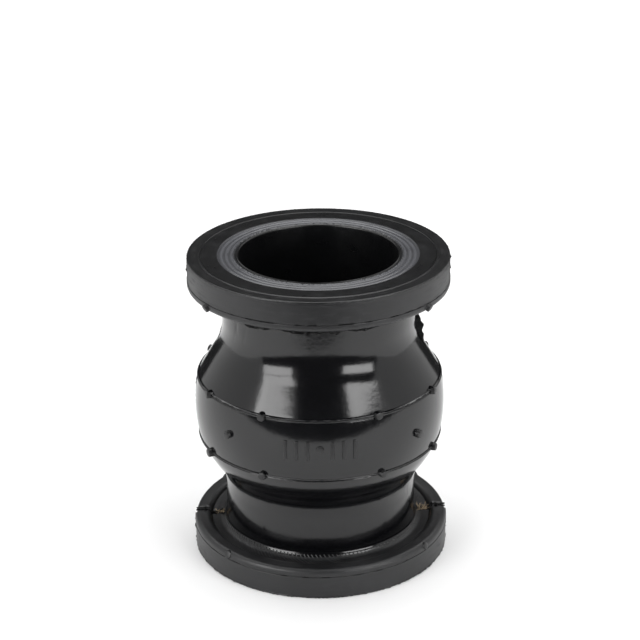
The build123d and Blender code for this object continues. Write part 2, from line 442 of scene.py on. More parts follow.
class Recipe:
    """One procedural material, read in millimetres from the piece's own coordinates."""

    def __init__(self, name):
        self.material = bpy.data.materials.new(name)
        self.material.use_nodes = True
        self.tree = self.material.node_tree
        self.tree.nodes.clear()
        self.output = self.add("ShaderNodeOutputMaterial")
        spot = self.add("ShaderNodeTexCoord").outputs["Object"]
        inputs = {"Vector": spot, "Scale": 1 / MM}
        self.spot = self.add("ShaderNodeVectorMath", {"operation": "SCALE"}, inputs).outputs[0]
        parts = self.add("ShaderNodeSeparateXYZ", inputs={"Vector": self.spot}).outputs
        self.x, self.y, self.z = (Field(self, part) for part in parts)
        self.radius = (self.x * self.x + self.y * self.y) ** 0.5
        self.turn = self.x.maths("ARCTAN2", 0 - self.y)

    def add(self, kind, settings=None, inputs=None):
        """Any node, from its type, its settings and the values or links of its sockets."""
        node = self.tree.nodes.new(kind)
        for title, value in (settings or {}).items():
            setattr(node, title, value)
        for title, value in (inputs or {}).items():
            self.plug(self.find(node, title), value)
        return node

    @staticmethod
    def find(node, title):
        """A socket by its number, its name or its identifier."""
        if isinstance(title, int):
            return node.inputs[title]
        return next(s for s in node.inputs if s.enabled and title in (s.name, s.identifier))

    def plug(self, socket, value):
        """Give a socket a value or a link."""
        if isinstance(value, Field):
            self.tree.links.new(value.socket, socket)
        elif isinstance(value, bpy.types.NodeSocket):
            self.tree.links.new(value, socket)
        elif hasattr(value, "__len__") and socket.type == "RGBA":
            socket.default_value = (*value[:3], 1.0)
        else:
            socket.default_value = value

    def cylinder(self, around, along, across):
        """Coordinates that follow the turned surface, each direction scaled on its own."""
        axes = {0: self.turn * NOISE_RADIUS * around, 1: self.z * along, 2: self.radius * across}
        return self.add("ShaderNodeCombineXYZ", inputs=axes).outputs[0]

    def grain(self, scale, detail=2.0, rough=0.6, spot=None):
        """Noise with a number of features to the millimetre."""
        inputs = {"Vector": spot or self.spot, "Scale": scale, "Detail": detail, "Roughness": rough}
        return Field(self, self.add("ShaderNodeTexNoise", inputs=inputs).outputs[0])

    def cells(self, scale):
        """Distance to the middle of the nearest of many scattered specks."""
        node = self.add("ShaderNodeTexVoronoi", inputs={"Vector": self.spot, "Scale": scale})
        return Field(self, node.outputs["Distance"])

    def mix(self, amount, first, second):
        """Blend of two colours."""
        inputs = {"Factor_Float": amount, "A_Color": first, "B_Color": second}
        node = self.add("ShaderNodeMix", {"data_type": "RGBA"}, inputs)
        return next(s for s in node.outputs if s.identifier == "Result_Color")

    def bump(self, height, distance, strength):
        """Bump from a height field, its distance in metres."""
        inputs = {"Strength": strength, "Distance": distance, "Height": height}
        return self.add("ShaderNodeBump", inputs=inputs).outputs[0]

    def surface(self, **inputs):
        """The shader, linked to the output. Spaces in socket names are written as _."""
        titles = {title.replace("_", " "): value for title, value in inputs.items()}
        shader = self.add("ShaderNodeBsdfPrincipled", inputs=titles)
        self.tree.links.new(shader.outputs[0], self.output.inputs["Surface"])
        return self.material


def moulded_rubber(mix, shade):
    """Cover rubber: glossy on the arch and necks, satin with bloom and dust on the beads, with painted shade
    on the outer ring of each sealing face.
    """
    s = sizes()
    half, bead, barrel, neck = (size / MM for size in (s.height / 2, s.bead, s.crown_barrel, s.neck))
    bead_start, channel, ridge = half - s.bead_level / MM, half - s.channel / MM, s.ridge_offset / MM
    hairline_level = half - (s.bead_thick - HAIRLINE_DROP) / MM
    off_middle = (mix.z - half).size()
    on_rim = off_middle.step(bead_start, bead_start + 1.2) * mix.radius.step(neck + 0.1, neck + 1.9)
    dusty = mix.grain(0.055, detail=3.0).step(0.45, 0.75)
    smear = mix.grain(0.9, detail=3.0, spot=mix.cylinder(0.18, 1.0, 1.0)).step(0.48, 0.78)
    specks = 1 - mix.cells(0.23).step(0.03, 0.085)
    speck_here = mix.grain(0.11, detail=1.0, rough=0.5).step(0.52, 0.6)
    bloom = dusty * 0.22 + smear * on_rim * 0.4 + specks * speck_here * 0.8
    base = mix.mix(on_rim, shade.rubber, shade.rim)
    base = mix.mix(bloom * (0.25 + on_rim * 0.55), base, shade.bloom)
    behind = SEAM_LEFT + mix.x.step(-1.0, 1.0) * (SEAM_RIGHT - SEAM_LEFT)
    seam = (mix.y - behind + (mix.grain(0.7, rough=0.5) - 0.5) * SEAM_WANDER).size()
    hairline = 1 - (off_middle - hairline_level).size().step(0.12, 0.3)
    torn = (1 - seam.step(SEAM_HALF, SEAM_HALF + 0.6)) * off_middle.step(channel - 1.0, channel - 0.4)
    torn = torn * (1 - off_middle.step(half - 5.0, half - 4.0))
    torn = torn + hairline * mix.radius.step(bead - 1.0, bead - 0.7) * 0.8
    base = mix.mix(torn, base, shade.flash)
    streak = mix.grain(0.8, rough=0.5, spot=mix.cylinder(0.55, 0.12, 0.12))
    patchy = mix.grain(0.12, detail=3.0, rough=0.55)
    gloss = 0.07 + streak * 0.06 + patchy * 0.07
    satin = 0.36 + smear * 0.16 + patchy * 0.10
    crown = (barrel**2 - off_middle * off_middle) ** 0.5 - (barrel - s.crown / MM)
    # Outer ring of the sealing face: given the sealing face's darker colour, partly to match the moulded face
    # and partly as painted shade.
    face_ring_painted_shade = off_middle.step(half - 0.8, half - 0.3)
    proud = (mix.radius - crown).step(0.15, 0.4) * (1 - off_middle.step(ridge + 1.2, ridge + 1.6))
    base = mix.mix(face_ring_painted_shade * 0.75, base, shade.face)
    rough = gloss * (1 - on_rim) + satin * on_rim + torn * 0.25 + proud * 0.3 - face_ring_painted_shade * 0.1
    peel = mix.grain(0.55, rough=0.5)
    fine = mix.grain(3.2)
    brushed = mix.grain(1.7, spot=mix.cylinder(0.07, 1.0, 1.0))
    height = peel * 0.55 + streak * 0.35 + fine * (0.04 + on_rim * 0.22) + brushed * on_rim * 0.5
    normal = mix.bump(height, 0.06 * MM, 0.55)
    return mix.surface(Base_Color=base, Roughness=rough, Normal=normal, IOR=1.52)


def sealing_rubber(mix, shade):
    """Sealing face: dark satin ring with a band round the bore painted paler grey as a painted reflection,
    with painted shade in fine darker rings.
    """
    band = (1 - mix.radius.step(40.6, 41.3)) * mix.radius.step(33.5, 35.2)
    cloud = mix.grain(0.16, detail=3.0)
    rings = mix.grain(2.3, spot=mix.cylinder(0.03, 0.3, 1.0))
    middle = sizes().height / 2 / MM
    on_face = (mix.z - middle).size().step(61.0, 63.5)
    # Paler band: painted reflection of the light on the dished face round the bore, varied by cloud.
    amount = band * (0.45 + cloud * 0.7) * on_face
    base = mix.mix(amount, shade.face, shade.face_band_painted_reflection)
    base = mix.mix(cloud.step(0.5, 0.8) * on_face * 0.3, base, shade.bloom)
    # Darker rings across the band: painted shade of the fine ring steps.
    painted_ring_shade = ((mix.radius * RINGS).wave() * 0.5 + 0.5) * band * on_face
    base = mix.mix(painted_ring_shade * 0.45, base, shade.face)
    rough = 0.2 + cloud * 0.12 + rings * 0.08
    height = rings * 0.55 + mix.grain(2.6) * 0.3
    normal = mix.bump(height, 0.07 * MM, 0.6)
    return mix.surface(Base_Color=base, Roughness=rough, Normal=normal, IOR=1.5)


def torn_rubber(mix, shade):
    """Flash and torn edges: deep black, rough and pitted."""
    pits = mix.grain(1.6, detail=4.0, rough=0.7)
    base = mix.mix(pits.step(0.5, 0.8) * 0.3, shade.flash, shade.bloom)
    normal = mix.bump(pits, 0.25 * MM, 0.9)
    return mix.surface(Base_Color=base, Roughness=0.42 + pits * 0.3, Normal=normal, IOR=1.5)


def rib_rubber(mix, shade):
    """Cord pattern printed through the thin skin of the channel."""
    worn = mix.grain(0.45, detail=3.0)
    base = mix.mix(worn.step(0.35, 0.8) * 0.55, shade.rubber, shade.bloom)
    normal = mix.bump(mix.grain(3.5), 0.05 * MM, 0.6)
    return mix.surface(Base_Color=base, Roughness=0.3 + worn * 0.25, Normal=normal, IOR=1.52)


def cord_fabric(mix, shade):
    """Rubberised nylon cord: close brown cords laid on the slant, with black skim between."""
    lay = (mix.turn * 46.0 + mix.z * 0.9 + mix.radius * 0.5) * (FULL_TURN / 1.15)
    ribs = lay.wave() * 0.5 + 0.5
    twist = ((mix.z + mix.radius) * 5.2 + mix.turn * 160.0).wave() * 0.5 + 0.5
    fray = mix.grain(1.2, detail=3.0)
    base = mix.mix(ribs.step(0.25, 0.8) * (0.55 + fray * 0.6), shade.skim, shade.cord)
    normal = mix.bump(ribs * 0.8 + twist * ribs * 0.25 + fray * 0.2, 0.3 * MM, 0.9)
    return mix.surface(Base_Color=base, Roughness=0.62 + fray * 0.2, Normal=normal)


def bead_wire(mix, shade):
    """Drawn bronze-coated wire: fine drawing marks along each turn."""
    drawn = mix.grain(6.0, spot=mix.cylinder(0.02, 1.0, 1.0))
    tarnish = mix.grain(0.3, detail=3.0)
    base = mix.mix(tarnish.step(0.45, 0.75) * 0.6, shade.wire, shade.tarnish)
    normal = mix.bump(drawn, 0.02 * MM, 0.6)
    return mix.surface(Base_Color=base, Metallic=1.0, Roughness=0.26 + drawn * 0.16, Normal=normal)


def filler_rubber(mix, shade):
    """Hard extruded filler: matt, with extrusion lines round it."""
    lines = mix.grain(2.0, spot=mix.cylinder(0.02, 1.0, 1.0))
    base = mix.mix(lines.step(0.4, 0.8) * 0.3, shade.rim, shade.bloom)
    normal = mix.bump(lines, 0.1 * MM, 0.7)
    return mix.surface(Base_Color=base, Roughness=0.55 + lines * 0.15, Normal=normal)


def fibre_nylon(mix, shade):
    """Frayed ends of tyre cord, brown with paler filaments."""
    fray = mix.grain(1.5, detail=3.0)
    base = mix.mix(fray.step(0.3, 0.65), shade.cord, shade.filament)
    return mix.surface(Base_Color=base, Roughness=0.7 + fray * 0.15)


def studio_floor(mix, shade):
    """Plain pale floor with the faintest unevenness."""
    cloud = mix.grain(0.004, rough=0.5)
    base = mix.mix(cloud * 0.04, shade.floor, shade.floor_cloud)
    glow = mix.mix(mix.radius.step(GLOW_START, GLOW_END), BLACK, WHITE)
    rough = 0.7 + cloud * 0.05
    return mix.surface(Base_Color=base, Roughness=rough, Emission_Color=glow, Emission_Strength=1.0)


def finish(maker):
    """A material, made once and shared by every piece with that finish."""
    name = maker.__name__
    return bpy.data.materials.get(name) or maker(Recipe(name), colours())


# ---- cover, walls and faces ----
def seam_offset(across):
    """How far behind the middle the bead's parting line runs, left and right."""
    return (SEAM_RIGHT if across > 0 else SEAM_LEFT) * MM


def seam_depth(spot, radius, shift):
    """How deep the mould's parting line is torn at a place on the bead."""
    wander = noise.noise(Vector((radius / (1.7 * MM), spot.z / (2.0 * MM), shift)))
    centre = seam_offset(spot.x) + SEAM_WANDER * MM * wander
    half = MM * (SEAM_HALF + 1.6 * noise.noise(Vector((radius / (1.1 * MM), shift, spot.z / MM))))
    return smooth(1.35 - abs(spot.y - centre) / half)


def bead_outline():
    """Closed profile of the lower bead's cover, from the sealing face round to the core."""
    s = sizes()
    ply_radius = s.neck - s.cover
    edge, lip = s.face_liner, s.lip_round
    top, hairline = s.bead_thick - lip, s.bead_thick - HAIRLINE_DROP
    groove = ((0.05, 0.22), (0.30, 0.02), (0.62, 0.02), (0.95, 0.16))
    points = [(edge + out * MM, up * MM) for out, up in groove]
    points += run(0.16 * MM, edge + 1.5 * MM, s.bead - 0.8 * MM, 0.8 * MM)
    points += arc_points((s.bead - 0.5 * MM, 0.6 * MM), 0.5 * MM, -75, 0, 3)
    points += rise(s.bead, 1.0 * MM, hairline - 0.5 * MM, 0.45 * MM)
    points += [(s.bead, hairline + step * MM) for step in (-0.3, -0.15, 0.0, 0.15, 0.3)]
    points += rise(s.bead, hairline + 0.5 * MM, top - 0.2 * MM, 0.35 * MM)
    points += arc_points((s.bead - lip, top), lip, 0, 90, 7)
    points += run(s.bead_thick, s.bead - lip - 0.5 * MM, s.lip_inner + lip + 0.4 * MM, 0.5 * MM)
    points += arc_points((s.lip_inner + lip, top), lip, 90, 172, 7)
    points += arc_points((s.lip_inner - 0.45 * MM, s.channel + 0.45 * MM), 0.45 * MM, 0, -90, 3)
    points += run(s.channel, s.lip_inner - 0.9 * MM, s.neck + s.foot + 0.3 * MM, 0.5 * MM)
    points += arc_points((s.neck + s.foot, s.channel + s.foot), s.foot, -90, -180, 12)
    points += [
        (s.neck, s.bead_level),
        (ply_radius, s.bead_level),
        (ply_radius, s.core_top),
        (s.core, s.core_top),
        (s.core, s.face_thick),
        (s.face_liner + 0.05 * MM, s.face_thick),
    ]
    return points


def rough_bead(bm, end):
    """Hairline, trimmed edge, lip mismatch and torn seam on a bead, still in lower position."""
    s = sizes()
    shift = 0.0 if end == "lower" else 37.0
    drift = shift * MM
    burr_size = (0.8 if end == "lower" else 0.28) * MM
    hairline, trim, clear = s.bead_thick - HAIRLINE_DROP, 1.3 * MM, s.neck + 1.5 * MM
    for vert in bm.verts:
        co = vert.co
        radius = math.hypot(co.x, co.y)
        outside = radius > s.core + 0.3 * MM or co.z > s.core_top + 0.3 * MM
        if not outside or co.z > s.bead_level - 0.1 * MM:
            continue
        turn = turn_of(co)
        around = turn * s.bead
        out, lift = 0.0, 0.0
        if radius > s.bead - 0.05 * MM and abs(co.z - hairline) < 0.2 * MM:
            dash = between(ripple(around, drift, 0, 4.5), 0.05, 0.22)
            nick = between(ripple(around, 0, drift, 0.8), -0.2, 0.5)
            out -= MM * (0.26 + 0.5 * dash * (0.4 + 0.6 * nick)) * (1 - abs(co.z - hairline) / (0.24 * MM))
        if radius > s.bead - 0.8 * MM and co.z < trim:
            burr = abs(ripple(around, drift, co.z, 1.6)) + 0.5 * abs(ripple(around, 5 * MM, drift, 0.7))
            out += burr_size * burr * smooth((trim - co.z) / MM) - 0.12 * MM
        if radius > s.bead - 0.05 * MM:
            out += 0.06 * MM * ripple(around, co.z, drift, 14)
        if co.z > s.core_top:
            front = 1.0 if co.y < seam_offset(co.x) else -1.0
            near = math.exp(-abs(abs(turn) - math.pi / 2) / 0.45)
            lift += 0.46 * MM * front * near * between(radius, clear, s.lip_inner)
            out += 0.22 * MM * front * near * between(radius, s.core, s.bead)
            lift += 0.10 * MM * ripple(co.x, co.y, drift, 9) * between(radius, clear, s.lip_inner)
        if co.z > s.core_top - 1.0 * MM:
            tear = seam_depth(co, radius, shift)
            on_top = between(co.z, s.core_top - 0.5 * MM, s.channel)
            lift -= 1.5 * MM * tear * on_top * between(radius, s.neck + 0.6 * MM, s.neck + 2.5 * MM)
            if radius > s.bead - 0.6 * MM:
                out -= 0.9 * MM * tear
        co.z = min(s.bead_level, co.z + lift)
        co.xy = co.xy * ((radius + out) / radius)


RIM_NUB_TURNS = {"lower": (-46, 54, 128, -128), "upper": (-56, 54, 126, -126)}


class EXPANSIONJOINT_OT_bead_covers(bpy.types.Operator):
    """Turn the cover of each bead: rim, lip, channel and the foot of the neck"""

    bl_idname = "expansion_joint.bead_covers"
    bl_label = "Bead Covers"

    def execute(self, context):
        s = sizes()
        for end in ENDS:
            bm = turned(bead_outline(), 600)
            rough_bead(bm, end)
            stand_up(bm, end)
            up = 1 if end == "lower" else -1
            for number, turn in enumerate(RIM_NUB_TURNS[end]):
                turn = math.radians(turn)
                level = s.bead_thick - 1.5 * MM
                level = level if end == "lower" else s.height - level
                tall = (0.75 if end == "lower" else 1.3) * MM
                spot = place(s.bead - 0.35 * MM, turn, level)
                add_nub(bm, spot, place(1, turn, 0.45 * up), tall, number + 10 * ENDS.index(end))
            piece = finish_piece(f"bead_cover_{end}", bm, moulded_rubber)
            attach(piece, f"{end}_bead")
            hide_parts(f"{end}_bead_cover")
        return {"FINISHED"}


def face_level(radius, turn, shift):
    """Height of the sealing face over its datum: rings, a step, and a torn ridge by the bore."""
    step, ridge, drift = 41.0, 34.45, shift * MM
    level = 0.16
    if radius < step * MM:
        level += 0.30 * between(radius, step * MM, (step - 0.25) * MM)
        inner = between(radius, 34.9 * MM, 35.6 * MM)
        level += inner * 0.15 * math.sin((step - radius / MM) * RINGS)
        level += inner * 0.05 * ripple(turn * radius, radius, drift, 5)
    level += 0.035 * ripple(turn * radius, radius, drift, 8)
    stand = 1 - abs(radius - ridge * MM) / (0.42 * MM)
    if stand > 0:
        ragged = 0.6 + 0.9 * ripple(turn * radius, 0, drift, 1.4)
        level -= stand * max(0.0, ragged) * 0.6
    return max(0.0, level) * MM


class EXPANSIONJOINT_OT_sealing_faces(bpy.types.Operator):
    """Turn the liner out over each end as the ringed sealing face"""

    bl_idname = "expansion_joint.sealing_faces"
    bl_label = "Sealing Faces"

    def execute(self, context):
        s = sizes()
        liner_radius = s.bore + s.liner
        outline = run(0.0, s.face_liner, s.bore + 0.8 * MM, 0.26 * MM)
        outline += arc_points((s.bore + 0.7 * MM, 0.75 * MM), 0.7 * MM, 250, 180, 4)
        outline += rise(s.bore, 1.5 * MM, s.bead_level, 1.5 * MM)
        outline += [(liner_radius, s.bead_level), (liner_radius, s.face_thick), (s.face_liner, s.face_thick)]
        for end in ENDS:
            shift = 11.0 * ENDS.index(end)
            bm = turned(outline, 420)
            for vert in bm.verts:
                radius = math.hypot(vert.co.x, vert.co.y)
                if vert.co.z < 0.01 * MM:
                    vert.co.z = face_level(radius, turn_of(vert.co), shift)
            piece = finish_bead_piece("sealing_face", end, bm, sealing_rubber)
            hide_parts(f"{end}_bead_liner")
        return {"FINISHED"}


STRETCHES = ("neck", "flank", "crown", "flank", "neck")


def stretch_levels():
    """Levels at which one bending stretch of the wall ends and the next begins."""
    s = sizes()
    ridge = s.height / 2 - s.ridge_offset - s.ridge_half
    lower = [s.bead_level, s.bend_level, ridge]
    return lower + [s.height - level for level in reversed(lower)]


CHAIN = ("lower_bead", "lower_neck", "lower_arch", "upper_arch", "upper_neck", "upper_bead")


def finish_stretch(name, number, bm, maker, crease=38.0):
    """Finish a piece of one stretch of the wall, its transform baked into the mesh."""
    stretch = STRETCHES[number]
    end = "" if stretch == "crown" else f"_{ENDS[number > 2]}"
    piece = finish_piece(f"{name}_{stretch}{end}", bm, maker, crease)
    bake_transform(piece)
    return piece


def stand_for(piece, number, layer):
    """Hide the nodes of its layer that a piece of the wall covers."""
    bodies = [body for body in CHAIN[number : number + 2] if not body.endswith("bead")]
    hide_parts(*(f"{body}_{layer}" for body in bodies))


def wall_stretch(low, high, outer, inner, spacing, steps, skin=False):
    """Ring between two depths of the wall and two levels."""
    outline = Outline()
    rows = evenly(low, high, spacing)
    if skin:
        near = outline.middle - outline.ridge, outline.middle + outline.ridge
        half = sizes().ridge_half
        for ridge in near:
            if low - half < ridge < high + half:
                rows = [z for z in rows if abs(z - ridge) > half]
                rows += evenly(ridge - half, ridge + half, half / 5)
        rows = sorted({round(z, 8) for z in rows if low - HAIR <= z <= high + HAIR})
    face = [(outline.skin(z) if skin else outline.radius(z, outer), z) for z in rows]
    back = [(outline.radius(z, inner), z) for z in reversed(evenly(low, high, 2.5 * MM))]
    return turned(face + back, steps)


CREASES = (  # angle, lowest and highest level, lean
    (-60, 99, 112, 0.9),
    (-55, 101, 113, -0.3),
    (-50, 100, 110, 0.7),
    (66, 27, 34, -0.8),
    (71, 24, 31, -0.4),
)


def crease_depth(spot, radius):
    """Depth in millimetres of the few creases where the skin was pulled from the mould."""
    depth = 0.0
    for turn, low, high, lean in CREASES:
        if low * MM < spot.z < high * MM:
            share = (spot.z / MM - low) / (high - low)
            away = (turn_of(spot) - math.radians(turn)) * radius / MM - lean * (spot.z / MM - low) * 0.4
            depth += 0.07 * math.sin(math.pi * share) * math.exp(-((away / 0.75) ** 2))
    return depth


def settle_skin(bm):
    """Slight unevenness of a moulded skin, the same on both sides of every cut."""
    outline = Outline()
    s = sizes()
    ridges = [outline.middle - s.ridge_offset, outline.middle + s.ridge_offset]
    for vert in bm.verts:
        co = vert.co
        radius = math.hypot(co.x, co.y)
        if radius < outline.radius(co.z) - 0.4 * MM:
            continue
        out = 0.045 * ripple(co.x, co.y, co.z, 17) + 0.012 * ripple(co.x, co.y, co.z + 1, 5)
        away = min(abs(co.z - ridge) for ridge in ridges)
        if away < s.ridge_half:
            frayed = ripple(turn_of(co) * radius, co.z * 3, 0, 1.3)
            out += 0.16 * frayed * smooth(1.5 * (1 - away / s.ridge_half))
        out -= crease_depth(co, radius)
        fade = between(min(co.z, s.height - co.z), s.bead_level, s.bead_level + 4 * MM)
        co.xy = co.xy * ((radius + out * MM * fade) / radius)


class EXPANSIONJOINT_OT_cover_walls(bpy.types.Operator):
    """Turn the cover of the necks, flanks and crown, with its ridges, nubs and raised bars"""

    bl_idname = "expansion_joint.cover_walls"
    bl_label = "Cover Walls"

    def execute(self, context):
        s = sizes()
        levels = stretch_levels()
        for number, stretch in enumerate(STRETCHES):
            low, high = levels[number], levels[number + 1]
            bm = wall_stretch(low, high, 0.0, s.cover, 0.55 * MM, 420, skin=True)
            settle_skin(bm)
            if stretch == "crown":
                add_crown_marks(bm)
            piece = finish_stretch("cover", number, bm, moulded_rubber)
            stand_for(piece, number, "cover")
        return {"FINISHED"}


RIDGE_NUB_TURNS = {-1: (-62, -27, 29.5, 66.5), 1: (-62, -27, 27, 64.5)}
BAND_NUBS = ((0, 1.5), (-45, 1.3), (49.5, -0.4), (-135, 1.5), (135, 1.5), (180, 1.5))  # angle, rise
BAR_TURNS = (-15.5, -10.5, -5.5, 5.5, 10.5, 15.5)
BAR_LEVEL = 65.75 * MM
BAR_SIZE = Vector((1.5, 1.1, 8.2)) * MM


def add_crown_marks(bm):
    """Nubs on the ridges and round the middle, and plain raised bars at the front."""
    s = sizes()
    outline = Outline()
    for up in (-1, 1):
        level = outline.middle + up * s.ridge_offset
        for number, turn in enumerate(RIDGE_NUB_TURNS[up]):
            for behind in (0, 180):
                at = math.radians(turn + behind)
                seed = 100 + number + behind + 30 * up
                add_nub(bm, place(outline.ridge_radius, at, level), place(1, at, 0), 1.75 * MM, seed)
    for number, (turn, lift) in enumerate(BAND_NUBS):
        at = math.radians(turn)
        level = outline.middle + lift * MM
        tall = 0.5 * MM if number == 0 else 1.7 * MM
        add_nub(bm, place(outline.radius(level), at, level), place(1, at, 0), tall, 200 + number)
    for turn in BAR_TURNS:
        add_bar(bm, math.radians(turn))


def add_bar(bm, turn):
    """A plain raised bar with softened edges."""
    centre = place(Outline().radius(BAR_LEVEL) - 0.12 * MM, turn, BAR_LEVEL)
    corners = bmesh.ops.create_cube(bm, size=1.0)["verts"]
    bmesh.ops.scale(bm, verts=corners, vec=BAR_SIZE)
    verts = soften(bm, edges_among(corners), 0.34 * MM, 3)["verts"]
    swing(bm, verts, turn)
    bmesh.ops.translate(bm, verts=verts, vec=centre)


class EXPANSIONJOINT_OT_inner_walls(bpy.types.Operator):
    """Turn the liner and the three plies of the necks, flanks and crown"""

    bl_idname = "expansion_joint.inner_walls"
    bl_label = "Inner Walls"

    def execute(self, context):
        s = sizes()
        levels = stretch_levels()
        ply = (s.ply, cord_fabric, "ply_cord", 2.0 * MM, 160)
        liner = (s.liner, sealing_rubber, "liner_rubber", 1.2 * MM, 240)
        layers = {"outer_ply": ply, "middle_ply": ply, "inner_ply": ply, "liner": liner}
        for under, (layer, (thickness, maker, slot, spacing, steps)) in enumerate(layers.items()):
            depth = s.cover + under * s.ply
            for number in range(len(STRETCHES)):
                low, high = levels[number], levels[number + 1]
                bm = wall_stretch(low, high, depth, depth + thickness, spacing, steps)
                stand_for(finish_stretch(layer, number, bm, maker), number, layer)
        return {"FINISHED"}


class EXPANSIONJOINT_OT_cord_ribs(bpy.types.Operator):
    """Lay the cord ribs that print through at the foot of each neck"""

    bl_idname = "expansion_joint.cord_ribs"
    bl_label = "Cord Ribs"
    count: IntProperty(name="Ribs", description="Ribs round one bead", default=150, min=12)

    def execute(self, context):
        s = sizes()
        centre = Vector((s.neck + s.foot, 0, s.channel + s.foot))
        slant, tail = math.radians(5.0), 1.6 * MM
        arch = Matrix.Rotation(math.radians(13), 3, "Y")
        start = Matrix.Translation((centre.x + tail, 0, s.channel - 0.02 * MM))
        start = start @ Matrix.Rotation(math.pi / 2, 4, "Y")
        for end in ENDS:
            chance = random.Random(5 + ENDS.index(end))
            bm = bmesh.new()
            bmesh.ops.create_circle(bm, cap_ends=True, segments=6, radius=0.3 * MM, matrix=start)
            front, moved = grow(bm, bm.faces[:], keep=True)
            bmesh.ops.translate(bm, verts=moved, vec=(-tail, 0, 0))
            for _ in range(5):
                front, moved = grow(bm, front)
                bmesh.ops.rotate(bm, verts=moved, cent=centre, matrix=arch)
            for vert in bm.verts:
                shift = slant * (math.hypot(vert.co.x, vert.co.y) - s.neck) / s.foot
                vert.co = Matrix.Rotation(shift, 3, "Z") @ vert.co
            rib = bm.verts[:] + bm.edges[:] + bm.faces[:]
            for number in range(1, self.count):
                verts = points_of(bmesh.ops.duplicate(bm, geom=rib)["geom"])
                turn = FULL_TURN * (number + chance.uniform(-0.12, 0.12)) / self.count
                swing(bm, verts, turn)
                away = turn_of(verts[0].co) + 0.3
                away = away * 1.5 if away > 0 else -away
                fade = 0.22 * between(away, 0.5, 1.5) + 0.12 * ripple(verts[0].co.x, verts[0].co.y, 0, 9)
                sink = MM * (0.05 + fade + chance.uniform(0, 0.13))
                bmesh.ops.translate(bm, verts=verts, vec=(0, 0, -max(0.0, sink)))
            finish_bead_piece("cord_ribs", end, bm, rib_rubber, crease=80)
        return {"FINISHED"}


def seam_line(low, high, side, spacing):
    """Feet and outward directions of the parting flash on the wall, at the left or right."""
    outline = Outline()
    levels = evenly(low, high, spacing)
    feet = [Vector((side * outline.radius(z), 0, z)) for z in levels]
    outward = []
    for z in levels:
        slope = (outline.radius(z + 0.1 * MM) - outline.radius(z - 0.1 * MM)) / (0.2 * MM)
        outward.append(Vector((side, 0, -slope)).normalized())
    return levels, feet, outward


class EXPANSIONJOINT_OT_seam_flash(bpy.types.Operator):
    """Raise the torn flash along the mould's parting line on the wall"""

    bl_idname = "expansion_joint.seam_flash"
    bl_label = "Seam Flash"

    def execute(self, context):
        levels = stretch_levels()
        middle = sizes().height / 2
        low, torn = 0.4, 2.9
        for number in range(len(STRETCHES)):
            bm = bmesh.new()
            for side in (-1, 1):
                rows, feet, outward = seam_line(levels[number], levels[number + 1], side, 0.4 * MM)
                heights = []
                for z in rows:
                    tall = low
                    if side > 0 and z > middle:
                        tall += torn * between(z, middle + 24 * MM, middle + 29 * MM)
                    patch = 0.55 + 0.9 * ripple(side * 3 * MM, 0, z, 6)
                    heights.append(MM * tall * max(0.2, patch) if tall < 1 else MM * tall)
                across = [Vector((0, 1, 0))] * len(rows)
                grain = 3.2 if side > 0 and number > 2 else 1.1
                add_fin(bm, feet, outward, across, heights, 0.6 * MM, seed=7.0 + side, grain=grain)
            bmesh.ops.recalc_face_normals(bm, faces=bm.faces)
            finish_stretch("seam_flash", number, bm, torn_rubber, crease=60)
        return {"FINISHED"}


class EXPANSIONJOINT_OT_bead_flash(bpy.types.Operator):
    """Raise the torn flash on the rims, over the lips and along the trimmed edges"""

    bl_idname = "expansion_joint.bead_flash"
    bl_label = "Bead Flash"

    def execute(self, context):
        s = sizes()
        for end in ENDS:
            bm = bmesh.new()
            seed, spacing = 3.0 + 20 * ENDS.index(end), 0.35 * MM
            for side in (-1, 1):
                aim, back = Vector((side, 0, 0)), Vector((0, 1, 0))
                rim = evenly(2.2 * MM, 8.4 * MM, spacing)
                behind = seam_offset(side)
                feet = [Vector((side * (s.bead - 0.15 * MM), behind, z)) for z in rim]
                tall, rows = [0.85 * MM] * len(rim), len(rim)
                add_fin(bm, feet, [aim] * rows, [back] * rows, tall, 0.5 * MM, seed + side)
                for shore in (-1, 1):
                    path = evenly(s.neck + 2.0 * MM, s.bead - 0.2 * MM, spacing)
                    feet, tall = [], []
                    for radius in path:
                        on_lip = between(radius, s.lip_inner - 0.4 * MM, s.lip_inner + 0.9 * MM)
                        level = s.channel + (s.bead_thick - s.channel) * on_lip - 0.15 * MM
                        wander = 0.5 * MM * noise.noise(Vector((radius / (1.6 * MM), seed, side)))
                        feet.append(Vector((side * radius, behind + wander + shore * 1.05 * MM, level)))
                        tall.append(MM * (0.7 if shore < 0 else 0.3))
                    up = [Vector((0, shore * 0.35, 1)).normalized()] * len(path)
                    side_seed = seed + 4 * side + shore
                    add_fin(bm, feet, up, [aim] * len(path), tall, 0.3 * MM, side_seed, grain=0.8)
            if end == "upper":
                self.add_curl(bm, s)
            finish_bead_piece("bead_flash", end, bm, torn_rubber, crease=60)
        return {"FINISHED"}

    @staticmethod
    def add_curl(bm, s):
        """Thin curled flash along the back edge of the upper bead, at the front."""
        for start, stop, tall in ((-33, -21, 2.0), (-16, 3, 1.3), (4, 9, 1.9), (12, 26, 1.0)):
            turns = [math.radians(t) for t in evenly(start, stop, 0.5)]
            feet = [place(s.bead - 0.8 * MM, t, s.bead_thick - 0.25 * MM) for t in turns]
            up = [(place(0.35, t, 1.0)).normalized() for t in turns]
            across = [place(1, t, 0) for t in turns]
            fade = [MM * tall * math.sin(math.pi * (n + 0.5) / len(turns)) for n in range(len(turns))]
            add_fin(bm, feet, up, across, fade, 0.16 * MM, seed=start, grain=2.2)


